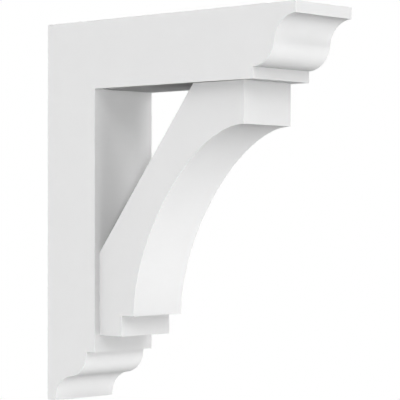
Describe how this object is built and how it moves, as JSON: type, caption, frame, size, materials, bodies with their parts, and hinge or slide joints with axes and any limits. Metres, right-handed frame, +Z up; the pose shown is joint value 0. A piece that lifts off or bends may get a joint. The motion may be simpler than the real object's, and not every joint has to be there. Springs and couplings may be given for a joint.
{
  "type": "decorative bracket",
  "caption": "White bracket: a wall post and a top beam end in the same ogee moulding, and a narrower curved brace joins them. It carries an eave, canopy or shelf.",
  "frame": {"origin": "middle of the frame's flat back, where the bracket is fixed to a wall", "axes": "+X out from the wall, +Y across the bracket's width, +Z up"},
  "size_m": [0.6096, 0.1524, 0.7112],
  "materials": {
    "frame": "white cellular PVC, smooth satin face",
    "brace": "white cellular PVC, smooth satin face"
  },
  "bodies": {
    "root": {"frame": "frame", "brace": "brace"}
  },
  "joints": []
}
